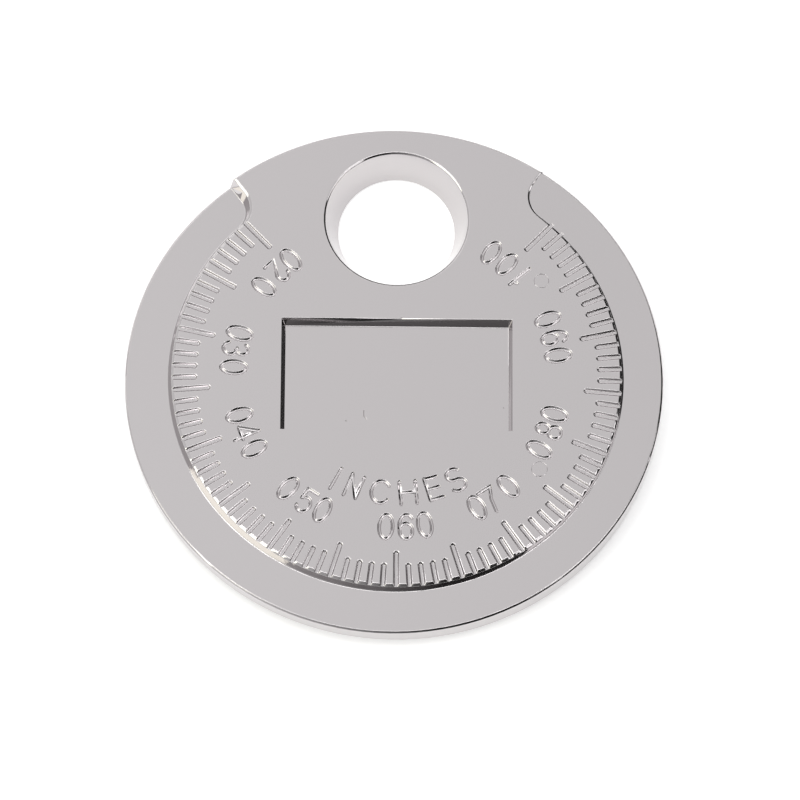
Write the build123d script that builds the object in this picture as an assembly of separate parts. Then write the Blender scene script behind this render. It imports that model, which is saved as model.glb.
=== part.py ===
from build123d import *
from math import cos, hypot, radians, sin, tan
import os

# Spark plug gap gauge: a disc the size of a coin, cast in one piece.
# A raised dial stands in the middle of each face. Round it runs a ramp, on both
# faces alike, that climbs from a thin end to a thick end, so that the rim's
# thickness beside each mark is the gap that it measures. The ramp's two ends
# meet at a tab of full thickness, which carries the hole that opens a gap.
# Millimetres and degrees. The origin is the rim's centre on the resting plane,
# +Z is up through the front face, and the tab points along +Y.

MM_PER_INCH = 25.4

# Disc
RIM_DIAMETER = 38.0
DISC_THICKNESS = 2.75
RIM_EDGE_CHAMFER = 0.12

# Ramp: how far it reaches in from the rim
RAMP_WIDTH = 3.125

# Dial: the die that forms it sits a little off the rim's centre
DIAL_SHIFT_X = 0.20
DIAL_SHIFT_Y = 0.15
DIAL_EDGE_CHAMFER = 0.135
WALL_DRAFT = 16.0

# Tab: its sides are radial lines, and they run into the dial in a round root
TAB_RIGHT_ANGLE = 56.4
TAB_LEFT_ANGLE = 127.35
TAB_ROOT_RADIUS = 1.9

# Scale: the thickness at its two ends, and their distance round from the tab
SCALE_START_INCH = 0.020
SCALE_END_INCH = 0.100
START_MARK_GAP = 5.85
END_MARK_GAP = 9.60

# Front marks, one every thousandth of an inch
FRONT_STEP_INCH = 0.001
FRONT_LONG_EVERY = 5

# Back marks, one every twentieth of a millimetre
BACK_START = 0.50
BACK_END = 2.50
BACK_STEP = 0.05
BACK_LONG_EVERY = 2

# Each mark is a groove from the dial's edge inwards, in a ring a little off the dial's centre
MARKS_SHIFT_X = 0.24
MARKS_SHIFT_Y = 0.07
LONG_MARK_LENGTH = 2.68
SHORT_MARK_LENGTH = 1.76
MARK_WIDTH = 0.38
MARK_DEPTH = 0.130
MARK_FLANK_ANGLE = 34.0
MARK_RUN_OUT = 0.20

# Pocket in the front face
POCKET_LENGTH = 16.30
POCKET_HEIGHT = 8.45
POCKET_DEPTH = 0.83

# Opener hole: a cone, wide at the front face
HOLE_FROM_RIM = 6.92
HOLE_SHIFT_X = 0.12
HOLE_FRONT_RADIUS = 5.10
HOLE_BACK_RADIUS = 4.13
HOLE_EDGE_CHAMFER = 0.08

# How far a cutting shape stands clear of what it cuts, and runs on into the tab
CLEAR = 0.5
CLEAR_ANGLE = 3.0

rim_radius = RIM_DIAMETER / 2
dial_radius = rim_radius - RAMP_WIDTH
half_thickness = DISC_THICKNESS / 2
middle_plane = Plane.XY.offset(half_thickness)
dial_place = Pos(DIAL_SHIFT_X, DIAL_SHIFT_Y, DISC_THICKNESS)
marks_place = Pos(MARKS_SHIFT_X, MARKS_SHIFT_Y, DISC_THICKNESS)

# The scale climbs counter-clockwise, from the tab's left side to its right side
tab_start_angle = TAB_LEFT_ANGLE - 360
scale_start_angle = tab_start_angle + START_MARK_GAP
scale_end_angle = TAB_RIGHT_ANGLE - END_MARK_GAP
scale_start = SCALE_START_INCH * MM_PER_INCH
scale_end = SCALE_END_INCH * MM_PER_INCH
rise_per_degree = (scale_end - scale_start) / (scale_end_angle - scale_start_angle)


def rim_thickness(angle):
    """Thickness of the rim at an angle on the ramp."""
    return scale_start + (angle - scale_start_angle) * rise_per_degree


def mark_angle(thickness):
    """Angle of the mark that stands where the rim has this thickness."""
    return scale_start_angle + (thickness - scale_start) / rise_per_degree


def polar(length, angle):
    return (length * cos(radians(angle)), length * sin(radians(angle)))


def raised_outline():
    """Dial and tab in one outline, with a round root where each tab side meets the dial."""
    reach = rim_radius + CLEAR
    half_tab = (TAB_LEFT_ANGLE - TAB_RIGHT_ANGLE) / 2
    tip = polar(reach / cos(radians(half_tab)) ** 2, TAB_RIGHT_ANGLE + half_tab)
    left_end = polar(reach / cos(radians(half_tab)), TAB_LEFT_ANGLE)
    right_end = polar(reach / cos(radians(half_tab)), TAB_RIGHT_ANGLE)
    tab = make_face(Polyline((0, 0), right_end, tip, left_end, close=True))
    dial = Pos(DIAL_SHIFT_X, DIAL_SHIFT_Y) * Circle(dial_radius)
    outline = dial + tab
    roots = outline.vertices().sort_by_distance((0, rim_radius))
    roots = [corner for corner in roots if hypot(corner.X, corner.Y) < rim_radius and corner.Y > 0]
    return fillet(roots[:2], TAB_ROOT_RADIUS)


def raised_half():
    """Front half of the dial and tab, with drafted walls and a broken top edge."""
    outline = Pos(Z=DISC_THICKNESS) * raised_outline()
    raised = extrude(outline, half_thickness, dir=(0, 0, -1), taper=-WALL_DRAFT)
    top_face = raised.faces().sort_by(Axis.Z)[-1]
    return chamfer(top_face.edges(), DIAL_EDGE_CHAMFER)


def above_ramp():
    """The space above the front ramp: a radial section swept up a helix.

    Its lower side is level across the ramp and then slopes down past the rim,
    so that it takes the ramp's outer edge off.
    """
    start_angle = tab_start_angle - CLEAR_ANGLE
    end_angle = TAB_RIGHT_ANGLE + CLEAR_ANGLE
    climb = (end_angle - start_angle) * rise_per_degree / 2
    inner = dial_radius - 2 * CLEAR
    outer = rim_radius + CLEAR
    top = half_thickness + CLEAR
    edge_start = rim_radius - RIM_EDGE_CHAMFER
    corners = ((inner, top), (inner, 0), (edge_start, 0), (outer, edge_start - outer), (outer, top))
    section = make_face(Polyline(*corners, close=True))
    helix = Helix(pitch=rise_per_degree / 2 * 360, height=climb, radius=rim_radius)
    space = sweep(Plane.XZ * section, path=helix, is_frenet=True)
    start_height = half_thickness + rim_thickness(start_angle) / 2
    return Pos(Z=start_height) * Rot(Z=start_angle) * space


def ramped_disc():
    """The disc with its rim's edges broken and its two ramps cut."""
    disc = extrude(Circle(rim_radius), DISC_THICKNESS)
    disc = chamfer(disc.edges().filter_by(GeomType.CIRCLE), RIM_EDGE_CHAMFER)
    front_space = above_ramp() - raised_half()
    return disc - front_space - mirror(front_space, about=middle_plane)


def pocket():
    outline = Rectangle(POCKET_LENGTH, POCKET_HEIGHT)
    return dial_place * extrude(outline, POCKET_DEPTH, dir=(0, 0, -1), taper=WALL_DRAFT)


def opener_hole():
    cone = Cone(HOLE_BACK_RADIUS, HOLE_FRONT_RADIUS, DISC_THICKNESS)
    return Pos(HOLE_SHIFT_X, rim_radius - HOLE_FROM_RIM, half_thickness) * cone


def groove(length):
    """One mark: sloping flanks, a narrow floor, and an inner end cut as half an octagon with the same slope."""
    slope = tan(radians(MARK_FLANK_ANGLE))
    half_width = MARK_WIDTH / 2
    floor = half_width - MARK_DEPTH * slope
    mouth = half_width + CLEAR * slope
    corners = ((-floor, -MARK_DEPTH), (floor, -MARK_DEPTH), (mouth, CLEAR), (-mouth, CLEAR))
    section = Plane.YZ * make_face(Polyline(*corners, close=True))
    end_centre = dial_radius - length + half_width
    start = end_centre - mouth
    bar = Pos(X=start) * extrude(section, dial_radius + MARK_RUN_OUT - start)
    for turn in (-45, 0, 45):
        inwards = polar(half_width, turn)
        edge_point = (end_centre - inwards[0], -inwards[1], 0)
        bar = split(bar, bisect_by=Plane(origin=edge_point, z_dir=(*inwards, half_width * slope)))
    return bar


def scale_marks(start, end, step, long_every):
    """A groove for every step of thickness, in place on the front face."""
    long_groove = groove(LONG_MARK_LENGTH)
    short_groove = groove(SHORT_MARK_LENGTH)
    marks = []
    for index in range(round((end - start) / step) + 1):
        mark = short_groove if index % long_every else long_groove
        marks.append(marks_place * Rot(Z=mark_angle(start + index * step)) * mark)
    return marks


def gauge():
    body = ramped_disc() - pocket() - opener_hole()
    hole_edges = body.faces().filter_by(GeomType.CONE).sort_by(Face.area)[-1].edges().filter_by(GeomType.CIRCLE)
    body = chamfer(hole_edges, HOLE_EDGE_CHAMFER)
    front_marks = scale_marks(scale_start, scale_end, FRONT_STEP_INCH * MM_PER_INCH, FRONT_LONG_EVERY)
    back_marks = scale_marks(BACK_START, BACK_END, BACK_STEP, BACK_LONG_EVERY)
    return body - front_marks - [mirror(mark, about=middle_plane) for mark in back_marks]


os.makedirs("parts", exist_ok=True)
gauge_disc = gauge()
gauge_disc.label = "gauge_disc"
export_step(gauge_disc, "parts/gauge_disc.step")
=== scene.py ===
from math import cos, pi, radians, sin
import bmesh
import bpy
from mathutils import Matrix, Vector


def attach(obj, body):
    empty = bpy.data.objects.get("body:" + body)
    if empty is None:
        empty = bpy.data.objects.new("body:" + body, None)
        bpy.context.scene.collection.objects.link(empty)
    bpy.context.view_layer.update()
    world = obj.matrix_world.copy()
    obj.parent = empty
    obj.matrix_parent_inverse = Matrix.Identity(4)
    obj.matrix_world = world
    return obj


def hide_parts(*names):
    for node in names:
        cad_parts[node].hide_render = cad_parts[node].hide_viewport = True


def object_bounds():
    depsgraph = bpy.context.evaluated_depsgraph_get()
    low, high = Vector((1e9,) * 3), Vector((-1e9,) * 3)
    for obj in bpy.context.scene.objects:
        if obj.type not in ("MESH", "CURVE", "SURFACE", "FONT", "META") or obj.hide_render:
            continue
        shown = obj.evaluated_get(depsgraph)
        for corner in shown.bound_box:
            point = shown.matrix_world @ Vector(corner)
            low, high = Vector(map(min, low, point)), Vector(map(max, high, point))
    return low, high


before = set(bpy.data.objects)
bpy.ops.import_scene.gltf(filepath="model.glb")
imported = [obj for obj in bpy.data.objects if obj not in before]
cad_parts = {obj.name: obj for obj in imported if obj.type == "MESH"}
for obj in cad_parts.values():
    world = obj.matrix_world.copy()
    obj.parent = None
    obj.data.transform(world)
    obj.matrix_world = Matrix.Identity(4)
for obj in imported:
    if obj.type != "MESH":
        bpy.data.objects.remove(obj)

# Spark plug gap gauge: a bright-plated zinc die casting, lying on a white table.
# The scene is in metres, and so are the camera's two distances and the lamps' distances and sizes.
# All other named sizes, the camera's sensor too, are in millimetres. Angles are in degrees.

MM = 0.001
cad_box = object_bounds()
front_face = cad_box[1][2]
bpy.ops.object.select_all(action="DESELECT")

# The photograph's view: where the rim's centre stands in it, its scale there, and how the camera looks at it
PHOTO_WIDTH = 800
RIM_CENTRE_PIXEL = (393.63, 390.62)
PIXELS_PER_MM = 14.108
CAMERA_DISTANCE = 0.460
CAMERA_ELEVATION = 68.25
CAMERA_TURN = 1.107
CAMERA_ROLL = 1.574
SENSOR_WIDTH = 36
CLIP_START = 0.01

# Lamps: each place is an angle from the front towards the left, and an elevation.
# Radiance is what a mirror sees of the lamp.
LAMP_DISTANCE = 0.9
PANEL_PLACE = (180, 69)
PANEL_SIZE = (0.90, 0.44)
PANEL_RADIANCE = 0.52
LEFT_BOX_PLACE = (65, 33)
LEFT_BOX_SIZE = (0.62, 0.48)
LEFT_BOX_RADIANCE = 1.9
RIGHT_BOX_PLACE = (-74, 37)
RIGHT_BOX_SIZE = (0.80, 0.46)
RIGHT_BOX_RADIANCE = 1.7

# A brighter border on the panel puts a line of light on every rounded lip.
# Its upper strip hangs almost straight above the gauge. It is the brightest, for a short, sharp shadow.
BORDER_OPENING = 0.37
BORDER_WIDTH = 0.22
BORDER_RADIANCE = 1.4
UPPER_STRIP_RADIANCE = 4.0

# The room: which way its light wall lies, and the cosines between which that wall fades in
LIGHT_WALL_WAY = (-0.97, 0.22, 0)
LIGHT_WALL_FADE = (-0.4, 0.6)

# The table lies just below the gauge's back, and glows as much as makes it white
TABLE_WIDTH = 6000
TABLE_GAP = 0.01
TABLE_GLOW = 0.42

# The casting's faint waves under the plating: how long one is, and its height
WAVE_LENGTH = 3.846
WAVE_HEIGHT = 0.02

# A stroke is a trough with a round bottom and round lips. Its half section runs from the middle outwards,
# as distance and height from the face, past its lip into the air. An open stroke ends in half a ball,
# with a ring of points at each cap angle. Curves are drawn in so many steps, and points that are
# closer than the weld are merged.
STROKE_SECTION = (
    (0, -0.110), (0.030, -0.105), (0.060, -0.084), (0.090, -0.050),
    (0.116, -0.017), (0.138, -0.004), (0.160, 0.001), (0.190, 0.030))
STROKE_LIP = STROKE_SECTION[-2][0]
CAP_ANGLES = (30, 55, 75, 86)
ARC_STEPS = 16
SHORT_ARC_STEPS = 5
RING_STEPS = 26
STROKE_WELD = 0.001

# The numbers and the unit word stand round the dial's centre, each figure at its own angle
DIAL_CENTRE = (0.20, 0.15)
NUMBER_RADIUS = 11.5
NUMBER_ANGLES = {
    "020": (131.1, 137.1, 145.2), "030": (164.9, 170.9, 177.9), "040": (-163.7, -157.2, -150.0),
    "050": (-131.0, -123.2, -116.5), "060": (-93.4, -86.5, -79.8), "070": (-60.4, -54.7, -46.8),
    "080": (-29.2, -21.2, -14.8), "090": (7.7, 14.5, 21.9), "100": (41.0, 47.5, 54.6)}
UNIT_RADIUS = 8.96
UNIT_ANGLES = (-118.2, -109.1, -96.9, -84.5, -72.9, -62.2)

# The pocket's floor, as a height from the front face
POCKET_FLOOR = -0.83

# Rounds: how far each reaches from its edge. A foot's is no more than a share of its step
EDGE_ROUND = 0.035
RIM_ROUND = 0.035
LIP_ROUND = 0.040
GROOVE_FLOOR_ROUND = 0.025
FOOT_ROUND = 0.070
FOOT_SHARE = 0.25
TAB_CORNER_ROUND = 0.130
WIDEST_ROUND = TAB_CORNER_ROUND
ROUND_STEPS = 3

# How faces and edges are told apart: by the angle between them, how far a normal rises,
# how deep they lie under the nearer side of the disc, and how far out.
# Corners closer than the weld are merged first.
SHARPEST_SMOOTH_ANGLE = 24
SAME_PLANE_ANGLE = 0.05
LEVEL_RISE = 0.995
GROOVE_FLANK_ANGLE = 34
GROOVE_FLANK_RISE = sin(radians(GROOVE_FLANK_ANGLE))
RISE_TOLERANCE = 0.012
LIP_DEPTH = 0.01
RAMP_DEPTH = 0.001
FLUSH_DEPTH = 0.0002
GAUGE_WELD = 0.0005
RAMP_FROM_RADIUS = 15.5
RIM_FROM_RADIUS = 18.5

# How much each ramp would rise in a full turn
RAMP_RISE = 1.337


def add_camera():
    """The photograph's camera, aimed at the rim's centre and rolled as the photograph is."""
    elevation = radians(CAMERA_ELEVATION)
    turn = radians(CAMERA_TURN)
    roll = radians(CAMERA_ROLL)
    back = Vector((-cos(elevation) * sin(turn), -cos(elevation) * cos(turn), sin(elevation)))
    level_right = Vector((cos(turn), -sin(turn), 0))
    level_up = back.cross(level_right)
    right = cos(roll) * level_right + sin(roll) * level_up
    up = cos(roll) * level_up - sin(roll) * level_right
    bpy.ops.object.camera_add()
    camera = bpy.context.object
    camera.name = "photo_camera"
    axes = Matrix((right, up, back)).transposed().to_4x4()
    camera.matrix_world = Matrix.Translation(back * CAMERA_DISTANCE) @ axes
    camera.data.sensor_width = SENSOR_WIDTH
    camera.data.lens = PIXELS_PER_MM * CAMERA_DISTANCE / MM / PHOTO_WIDTH * SENSOR_WIDTH
    camera.data.shift_x = 0.5 - RIM_CENTRE_PIXEL[0] / PHOTO_WIDTH
    camera.data.shift_y = RIM_CENTRE_PIXEL[1] / PHOTO_WIDTH - 0.5
    camera.data.clip_start = CLIP_START
    bpy.context.scene.camera = camera


def linear(hex_colour):
    """An sRGB hex colour as linear values with alpha."""
    values = [int(hex_colour[i:i + 2], 16) / 255 for i in (1, 3, 5)]
    return [v / 12.92 if v <= 0.04045 else ((v + 0.055) / 1.055) ** 2.4 for v in values] + [1]


def add_node(tree, kind, settings=None, inputs=None):
    """A node with its settings and its inputs. An input is a value, or the socket that feeds it."""
    node = tree.nodes.new(kind)
    for name, value in (settings or {}).items():
        setattr(node, name, value)
    for name, value in (inputs or {}).items():
        if isinstance(value, bpy.types.NodeSocket):
            tree.links.new(value, node.inputs[name])
        else:
            node.inputs[name].default_value = value
    return node


def new_material(name):
    material = bpy.data.materials.new(name)
    material.use_nodes = True
    material.node_tree.nodes.clear()
    return material


def plated_zinc():
    """Zinc die casting under bright nickel and chrome: a mirror that waves a little, as the casting does."""
    material = new_material("chrome_plated_zinc_die_casting")
    tree = material.node_tree
    place = add_node(tree, "ShaderNodeTexCoord").outputs["Object"]
    wave = add_node(tree, "ShaderNodeTexNoise", {}, {
        "Vector": place, "Scale": 1 / (WAVE_LENGTH * MM), "Detail": 2.0})
    bump = add_node(tree, "ShaderNodeBump", {}, {
        "Strength": 0.12, "Distance": WAVE_HEIGHT * MM, "Height": wave.outputs["Fac"]})
    shader = add_node(tree, "ShaderNodeBsdfPrincipled", {}, {
        "Base Color": linear("#C6C2C3"), "Metallic": 1.0, "Roughness": 0.09,
        "Normal": bump.outputs["Normal"]})
    add_node(tree, "ShaderNodeOutputMaterial", {}, {"Surface": shader.outputs["BSDF"]})
    return material


def white_paper():
    """Matt white paper. Its glow shows to the camera, in reflections and through glass only."""
    material = new_material("white_paper")
    tree = material.node_tree
    rays = add_node(tree, "ShaderNodeLightPath").outputs
    seen = add_node(tree, "ShaderNodeMath", {"operation": "MAXIMUM"}, {
        0: rays["Is Camera Ray"], 1: rays["Is Glossy Ray"]})
    seen_through = add_node(tree, "ShaderNodeMath", {"operation": "MAXIMUM"}, {
        0: seen.outputs[0], 1: rays["Is Transmission Ray"]})
    glow = add_node(tree, "ShaderNodeMath", {"operation": "MULTIPLY"}, {
        0: seen_through.outputs[0], 1: TABLE_GLOW})
    paper = add_node(tree, "ShaderNodeBsdfDiffuse", {}, {"Color": linear("#F2F2F2")})
    light = add_node(tree, "ShaderNodeEmission", {}, {"Strength": glow.outputs[0]})
    both = add_node(tree, "ShaderNodeAddShader", {}, {0: paper.outputs[0], 1: light.outputs[0]})
    add_node(tree, "ShaderNodeOutputMaterial", {}, {"Surface": both.outputs[0]})
    return material


def direction(from_front, elevation):
    """A direction by its angle from the front towards the left, and its elevation."""
    a, e = radians(from_front), radians(elevation)
    return Vector((-sin(a) * cos(e), -cos(a) * cos(e), sin(e)))


def add_soft_box(name, place, size, radiance, colour="#FFFFFF", shift=(0, 0)):
    """A square-cornered lamp that faces the gauge. Its power gives the radiance that a mirror sees."""
    turn = direction(*place).to_track_quat("Z", "Y")
    bpy.ops.object.light_add(type="AREA", location=turn @ Vector((*shift, LAMP_DISTANCE)))
    lamp = bpy.context.object
    lamp.name = name
    lamp.rotation_euler = turn.to_euler()
    lamp.data.shape = "RECTANGLE"
    lamp.data.size, lamp.data.size_y = size
    lamp.data.energy = radiance * pi * size[0] * size[1]
    lamp.data.color = linear(colour)[:3]


def add_lamps():
    """A panel overhead with a brighter border, and a soft box at each front corner, the left one cream."""
    add_soft_box("overhead_panel", PANEL_PLACE, PANEL_SIZE, PANEL_RADIANCE)
    strip_size = (BORDER_OPENING + 2 * BORDER_WIDTH, BORDER_WIDTH)
    upright_size = (BORDER_WIDTH, BORDER_OPENING)
    middle = (BORDER_OPENING + BORDER_WIDTH) / 2
    for side, radiance in ((-1, BORDER_RADIANCE), (1, UPPER_STRIP_RADIANCE)):
        add_soft_box("border_across", PANEL_PLACE, strip_size, radiance, shift=(0, side * middle))
    for side in (-1, 1):
        add_soft_box("border_upright", PANEL_PLACE, upright_size, BORDER_RADIANCE, shift=(side * middle, 0))
    add_soft_box("left_soft_box", LEFT_BOX_PLACE, LEFT_BOX_SIZE, LEFT_BOX_RADIANCE, "#F8FAE8")
    add_soft_box("right_soft_box", RIGHT_BOX_PLACE, RIGHT_BOX_SIZE, RIGHT_BOX_RADIANCE)


def add_room():
    """A dim room with a light wall on the left. A mix's sockets 0, 6 and 7 are its factor and colours."""
    world = bpy.data.worlds.new("studio_room")
    bpy.context.scene.world = world
    world.use_nodes = True
    tree = world.node_tree
    tree.nodes.clear()
    toward = add_node(tree, "ShaderNodeTexCoord").outputs["Generated"]
    cosine = add_node(tree, "ShaderNodeVectorMath", {"operation": "DOT_PRODUCT"}, {
        0: toward, 1: LIGHT_WALL_WAY})
    share = add_node(tree, "ShaderNodeMapRange", {}, {
        "Value": cosine.outputs["Value"], "From Min": LIGHT_WALL_FADE[0], "From Max": LIGHT_WALL_FADE[1]})
    walls = add_node(tree, "ShaderNodeMix", {"data_type": "RGBA"}, {
        0: share.outputs["Result"], 6: linear("#353535"), 7: linear("#EDEDED")})
    background = add_node(tree, "ShaderNodeBackground", {}, {"Color": walls.outputs[2], "Strength": 1.0})
    add_node(tree, "ShaderNodeOutputWorld", {}, {"Surface": background.outputs[0]})


def add_table():
    bpy.ops.mesh.primitive_plane_add(size=TABLE_WIDTH * MM, location=(0, 0, -TABLE_GAP * MM))
    table = bpy.context.object
    table.name = "white_table"
    table.data.materials.append(white_paper())


def add_object(name, data):
    piece = bpy.data.objects.new(name, data)
    bpy.context.collection.objects.link(piece)
    return piece


def select_only(piece):
    bpy.ops.object.select_all(action="DESELECT")
    piece.select_set(True)
    bpy.context.view_layer.objects.active = piece


def apply_modifier(piece, kind, **settings):
    modifier = piece.modifiers.new(kind.lower(), kind)
    for name, value in settings.items():
        setattr(modifier, name, value)
    select_only(piece)
    bpy.ops.object.modifier_apply(modifier=modifier.name)


def arc(x, y, width, height, start, end, steps=ARC_STEPS):
    """Points on an oval's line, from one angle to another, counter-clockwise if end is larger."""
    angles = [radians(start + (end - start) * i / steps) for i in range(steps + 1)]
    return [(x + width / 2 * cos(a), y + height / 2 * sin(a)) for a in angles]


def ring(x, y, width, height):
    """A closed oval, as an arc without its last point."""
    return arc(x, y, width, height, 90, 450, RING_STEPS)[:-1], True


def line(*points):
    """An open stroke through some points."""
    return list(points), False


def glyphs():
    """Each figure and letter as the centre lines of its strokes, in millimetres about its middle."""
    return {
        "0": [ring(0, 0, 0.95, 1.80)],
        "1": [line((0.02, 0.90), (0.02, -0.90)), line((-0.24, 0.50), (-0.10, 0.56))],
        "2": [line(*arc(0, 0.42, 0.84, 0.92, 170, -30), (-0.36, -0.86), (0.50, -0.86))],
        "3": [line(*arc(-0.02, 0.44, 0.78, 0.88, 150, -75)), line(*arc(0, -0.42, 0.92, 0.96, 95, -160))],
        "4": [line((0.34, -0.92), (0.26, 0.90)), line((0.26, 0.86), (-0.46, -0.30)),
              line((-0.46, -0.32), (0.46, -0.36))],
        "5": [line((0.42, 0.86), (-0.34, 0.86)), line((-0.34, 0.82), (-0.40, 0.10)),
              line(*arc(0, -0.30, 0.92, 1.14, 130, -150))],
        "6": [line(*arc(0.06, 0.0, 1.02, 1.80, 45, 190)), ring(0, -0.32, 0.90, 1.16)],
        "7": [line((-0.48, 0.86), (0.50, 0.86)), line((0.48, 0.82), (0.06, 0.02), (-0.16, -0.92))],
        "8": [ring(0, 0.45, 0.74, 0.90), ring(0, -0.44, 0.92, 0.90)],
        "9": [line(*arc(0, 0.0, 0.94, 1.80, 220, 370)), ring(0, 0.34, 0.90, 1.14)],
        "I": [line((0, 0.82), (0, -0.82))],
        "N": [line((-0.50, -0.82), (-0.42, 0.82)), line((-0.40, 0.80), (0.36, -0.80)),
              line((0.38, -0.82), (0.46, 0.82))],
        "C": [line(*arc(0, 0, 1.30, 1.66, 40, 320))],
        "H": [line((-0.56, 0.82), (-0.56, -0.82)), line((0.56, 0.82), (0.56, -0.82)),
              line((-0.54, 0.02), (0.54, 0.02))],
        "E": [line((-0.46, 0.82), (-0.46, -0.82)), line((-0.44, 0.80), (0.40, 0.80)),
              line((-0.44, 0.02), (0.36, 0.02)), line((-0.44, -0.80), (0.46, -0.80))],
        "S": [line(*arc(0, 0.42, 1.0, 0.82, 30, 270), *arc(0, -0.42, 1.1, 0.86, 90, -150))],
    }


def glyph_place(distance, angle):
    """Where a glyph stands on the dial: its top towards the dial's centre."""
    turn = radians(angle)
    right = Vector((-sin(turn), cos(turn), 0))
    up = Vector((-cos(turn), -sin(turn), 0))
    axes = Matrix((right, up, (0, 0, 1))).transposed().to_4x4()
    centre = Vector((DIAL_CENTRE[0] + distance * cos(turn), DIAL_CENTRE[1] + distance * sin(turn), 0))
    return Matrix.Translation(centre) @ axes


def lettering():
    """Every glyph's strokes, with its place."""
    shapes = glyphs()
    placed = []
    for number, angles in NUMBER_ANGLES.items():
        for figure, angle in zip(number, angles):
            placed.append((shapes[figure], glyph_place(NUMBER_RADIUS, angle)))
    for letter, angle in zip("INCHES", UNIT_ANGLES):
        placed.append((shapes[letter], glyph_place(UNIT_RADIUS, angle)))
    return placed


def blemishes():
    """The casting's faint marks, as fine strokes. Each is given as a scale, a place and a line to scale."""
    upper_pin = (10.415, 7.376, 0)
    lower_pin = (10.245, -6.92, 0)
    dot = line((-0.01, 0), (0.01, 0))
    marks = (
        # The rings that two ejector pins left, each pressed deeper along a short arc
        (0.16, upper_pin, line(*arc(0, 0, 6.5, 6.5, 115, 410, RING_STEPS))),
        (0.35, upper_pin, line(*arc(0, 0, 3.0, 3.0, 62, 100, SHORT_ARC_STEPS))),
        (0.16, lower_pin, line(*arc(0, 0, 6.9, 6.9, -60, 240, RING_STEPS))),
        (0.35, lower_pin, line(*arc(0, 0, 3.15, 3.15, -108, -72, SHORT_ARC_STEPS))),
        # Two nicks in the rim
        (0.40, (17.96, -6.01, -0.348), line((0, 0), (0.40, -0.14))),
        (0.30, (18.35, -4.74, -0.333), line((0, 0), (0.50, -0.12))),
        # A notch in the pocket's far edge
        (0.35, (0.50, 4.25, 0), line((0, -0.3), (0, 0.5))),
        # Three specks on the pocket's floor, one of them long
        (0.40, (-3.34, -3.08, POCKET_FLOOR), dot),
        (0.25, (-2.10, -2.29, POCKET_FLOOR), line((0, 0), (0, -1.7), (0.9, -2.8))),
        (0.30, (7.75, -2.00, POCKET_FLOOR), dot))
    return [([stroke], Matrix.Translation(place) @ Matrix.Scale(scale, 4)) for scale, place, stroke in marks]


def add_spline(curve, rings, closed):
    """A line through the middles of some rings, each with the scale that the section has there."""
    spline = curve.splines.new("POLY")
    spline.points.add(len(rings) - 1)
    for point, (place, scale) in zip(spline.points, rings):
        point.co = (*place, 1)
        point.radius = scale
    spline.use_cyclic_u = closed


def add_stroke(curve, points, closed, place):
    """One stroke's centre line. Towards an open end the section shrinks as a ball's does."""
    rings = [(Vector(point), 1.0) for point in points]
    if not closed:
        lead_in = (rings[0][0] - rings[1][0]).normalized() * STROKE_LIP
        lead_out = (rings[-1][0] - rings[-2][0]).normalized() * STROKE_LIP
        caps = [(sin(radians(a)), cos(radians(a))) for a in CAP_ANGLES]
        first = [(rings[0][0] + lead_in * along, scale) for along, scale in reversed(caps)]
        last = [(rings[-1][0] + lead_out * along, scale) for along, scale in caps]
        rings = first + rings + last
    add_spline(curve, [(place @ xy.to_3d(), scale * place.median_scale) for xy, scale in rings], closed)


def stroke_section():
    """The closed outline that every stroke carries along its line."""
    outline = list(STROKE_SECTION) + [(-x, z) for x, z in reversed(STROKE_SECTION[1:])]
    curve = bpy.data.curves.new("stroke_section", "CURVE")
    add_spline(curve, [((x, z, 0), 1.0) for x, z in outline], True)
    return add_object("stroke_section", curve)


def stroke_cutter(strokes, section):
    """Some strokes, none of which meet, as closed tubes, each sunk in its face but for its top."""
    curve = bpy.data.curves.new("strokes", "CURVE")
    curve.dimensions = "3D"
    curve.twist_mode = "Z_UP"
    curve.bevel_mode = "OBJECT"
    curve.bevel_object = section
    curve.use_fill_caps = True
    for (points, closed), place in strokes:
        add_stroke(curve, points, closed, place)
    select_only(add_object("strokes", curve))
    bpy.ops.object.convert(target="MESH")
    cutter = bpy.context.object
    cutter.data.transform(Matrix.Translation((0, 0, front_face)) @ Matrix.Scale(MM, 4))
    bpy.ops.object.mode_set(mode="EDIT")
    bpy.ops.mesh.select_all(action="SELECT")
    bpy.ops.mesh.remove_doubles(threshold=STROKE_WELD * MM)
    bpy.ops.mesh.normals_make_consistent(inside=False)
    bpy.ops.object.mode_set(mode="OBJECT")
    return cutter


def edge_round(edge):
    """How far an edge's round reaches, by what the edge is, or nothing where two faces meet smoothly."""
    if edge.calc_face_angle() < radians(SHARPEST_SMOOTH_ANGLE):
        return 0
    height = edge.verts[0].co.z / MM
    depth = min(abs(height - front_face / MM), abs(height))
    out = max(vertex.co.xy.length for vertex in edge.verts) / MM
    rises = [abs(face.normal.z) for face in edge.link_faces]
    if out > RIM_FROM_RADIUS:
        along = edge.verts[0].co - edge.verts[1].co
        return TAB_CORNER_ROUND if abs(along.z) > abs(along.xy.length) else RIM_ROUND
    if any(abs(rise - GROOVE_FLANK_RISE) < RISE_TOLERANCE for rise in rises):
        return LIP_ROUND if depth < LIP_DEPTH else GROOVE_FLOOR_ROUND
    if out > RAMP_FROM_RADIUS and edge.calc_face_angle_signed() < 0 and max(rises) > LEVEL_RISE:
        return min(FOOT_ROUND, FOOT_SHARE * depth)
    return EDGE_ROUND


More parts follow.
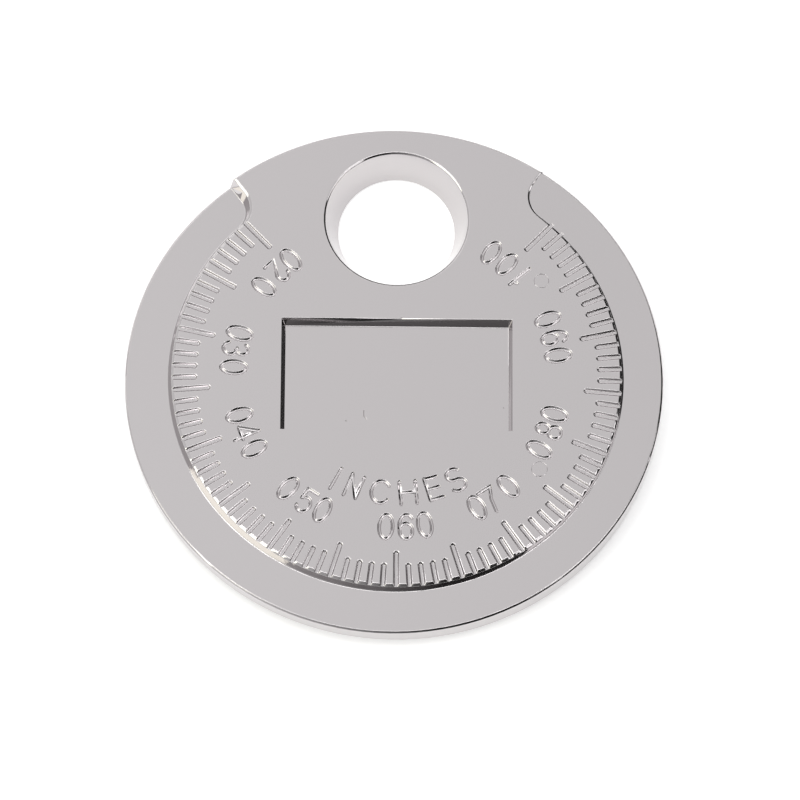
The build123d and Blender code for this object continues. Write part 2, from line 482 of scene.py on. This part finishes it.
def round_edges(gauge):
    """Rounds every edge by its own weight, as a share of the widest round."""
    work = bmesh.new()
    work.from_mesh(gauge.data)
    bmesh.ops.remove_doubles(work, verts=work.verts, dist=GAUGE_WELD * MM)
    bmesh.ops.dissolve_limit(work, angle_limit=radians(SAME_PLANE_ANGLE), verts=work.verts, edges=work.edges)
    weight = work.edges.layers.float.new("bevel_weight_edge")
    for edge in work.edges:
        edge[weight] = edge_round(edge) / WIDEST_ROUND
    work.to_mesh(gauge.data)
    work.free()
    select_only(gauge)
    bpy.ops.object.shade_smooth_by_angle(angle=radians(SHARPEST_SMOOTH_ANGLE))
    apply_modifier(
        gauge, "BEVEL", width=WIDEST_ROUND * MM, segments=ROUND_STEPS, limit_method="WEIGHT",
        use_clamp_overlap=False, harden_normals=True)


def cut_strokes(gauge):
    """Sinks the lettering and the faint marks, one layer of strokes that don't meet after another.

    Each layer's own material tells the faces in the strokes from the rest.
    """
    section = stroke_section()
    placed = lettering() + blemishes()
    for layer in range(max(len(strokes) for strokes, place in placed)):
        layer_strokes = [(strokes[layer], place) for strokes, place in placed if layer < len(strokes)]
        cutter = stroke_cutter(layer_strokes, section)
        cutter.data.materials.append(bpy.data.materials.new("stroke"))
        apply_modifier(
            gauge, "BOOLEAN", operation="DIFFERENCE", solver="MANIFOLD", material_mode="TRANSFER",
            object=cutter)
        bpy.data.objects.remove(cutter)
    bpy.data.objects.remove(section)


def is_level(face, places):
    """Whether a face is level, or a sliver in the front face, which may seem to point any way."""
    flush = all(place.z > front_face - FLUSH_DEPTH * MM for place in places)
    return flush or abs(face.normal.z) > LEVEL_RISE


def on_ramp(face, places):
    """Whether a level face belongs to a ramp: deeper than the disc's front and back, and outside the dial."""
    depth = front_face / 2 - abs(face.center.z - front_face / 2)
    return depth > RAMP_DEPTH * MM and all(place.xy.length > RAMP_FROM_RADIUS * MM for place in places)


def ramp_normal(x, y, side):
    """The ramp's normal: it leans back a little from the way that the ramp climbs."""
    lean = RAMP_RISE / (2 * pi) * MM / (x * x + y * y)
    return Vector((y * lean, -x * lean, side)).normalized()


def shade_faces(gauge):
    """Shades level faces flat, ramps as the helices that they are, and strokes round from lip to lip."""
    mesh = gauge.data
    normals = [corner.vector.copy() for corner in mesh.corner_normals]
    stroke_faces = [face for face in mesh.polygons if face.material_index > 0]
    lips = {}
    for face in mesh.polygons:
        places = [mesh.vertices[index].co for index in face.vertices]
        if face.material_index == 0 and is_level(face, places):
            side = 1 if face.normal.z > 0 else -1
            ramped = on_ramp(face, places)
            for corner, index, place in zip(face.loop_indices, face.vertices, places):
                normals[corner] = ramp_normal(place.x, place.y, side) if ramped else Vector((0, 0, side))
                lips[index] = normals[corner]
    around = [Vector() for vertex in mesh.vertices]
    for face in stroke_faces:
        for index in face.vertices:
            around[index] += face.normal * face.area
    for face in stroke_faces:
        for corner, index in zip(face.loop_indices, face.vertices):
            normals[corner] = lips[index] if index in lips else around[index].normalized()
        face.material_index = 0
    mesh.normals_split_custom_set(normals)


def add_gauge():
    """The casting as the model has it, with rounded edges and the strokes sunk into its front."""
    gauge = add_object("gauge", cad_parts["gauge_disc"].data.copy())
    gauge.data.materials.clear()
    gauge.data.materials.append(plated_zinc())
    round_edges(gauge)
    cut_strokes(gauge)
    shade_faces(gauge)
    # The strokes' own materials have done their work, and only the plating stays
    while len(gauge.data.materials) > 1:
        gauge.data.materials.pop()
    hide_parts("gauge_disc")
    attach(gauge, "root")


bpy.context.scene.view_settings.view_transform = "Standard"
add_camera()
add_lamps()
add_room()
add_table()
add_gauge()
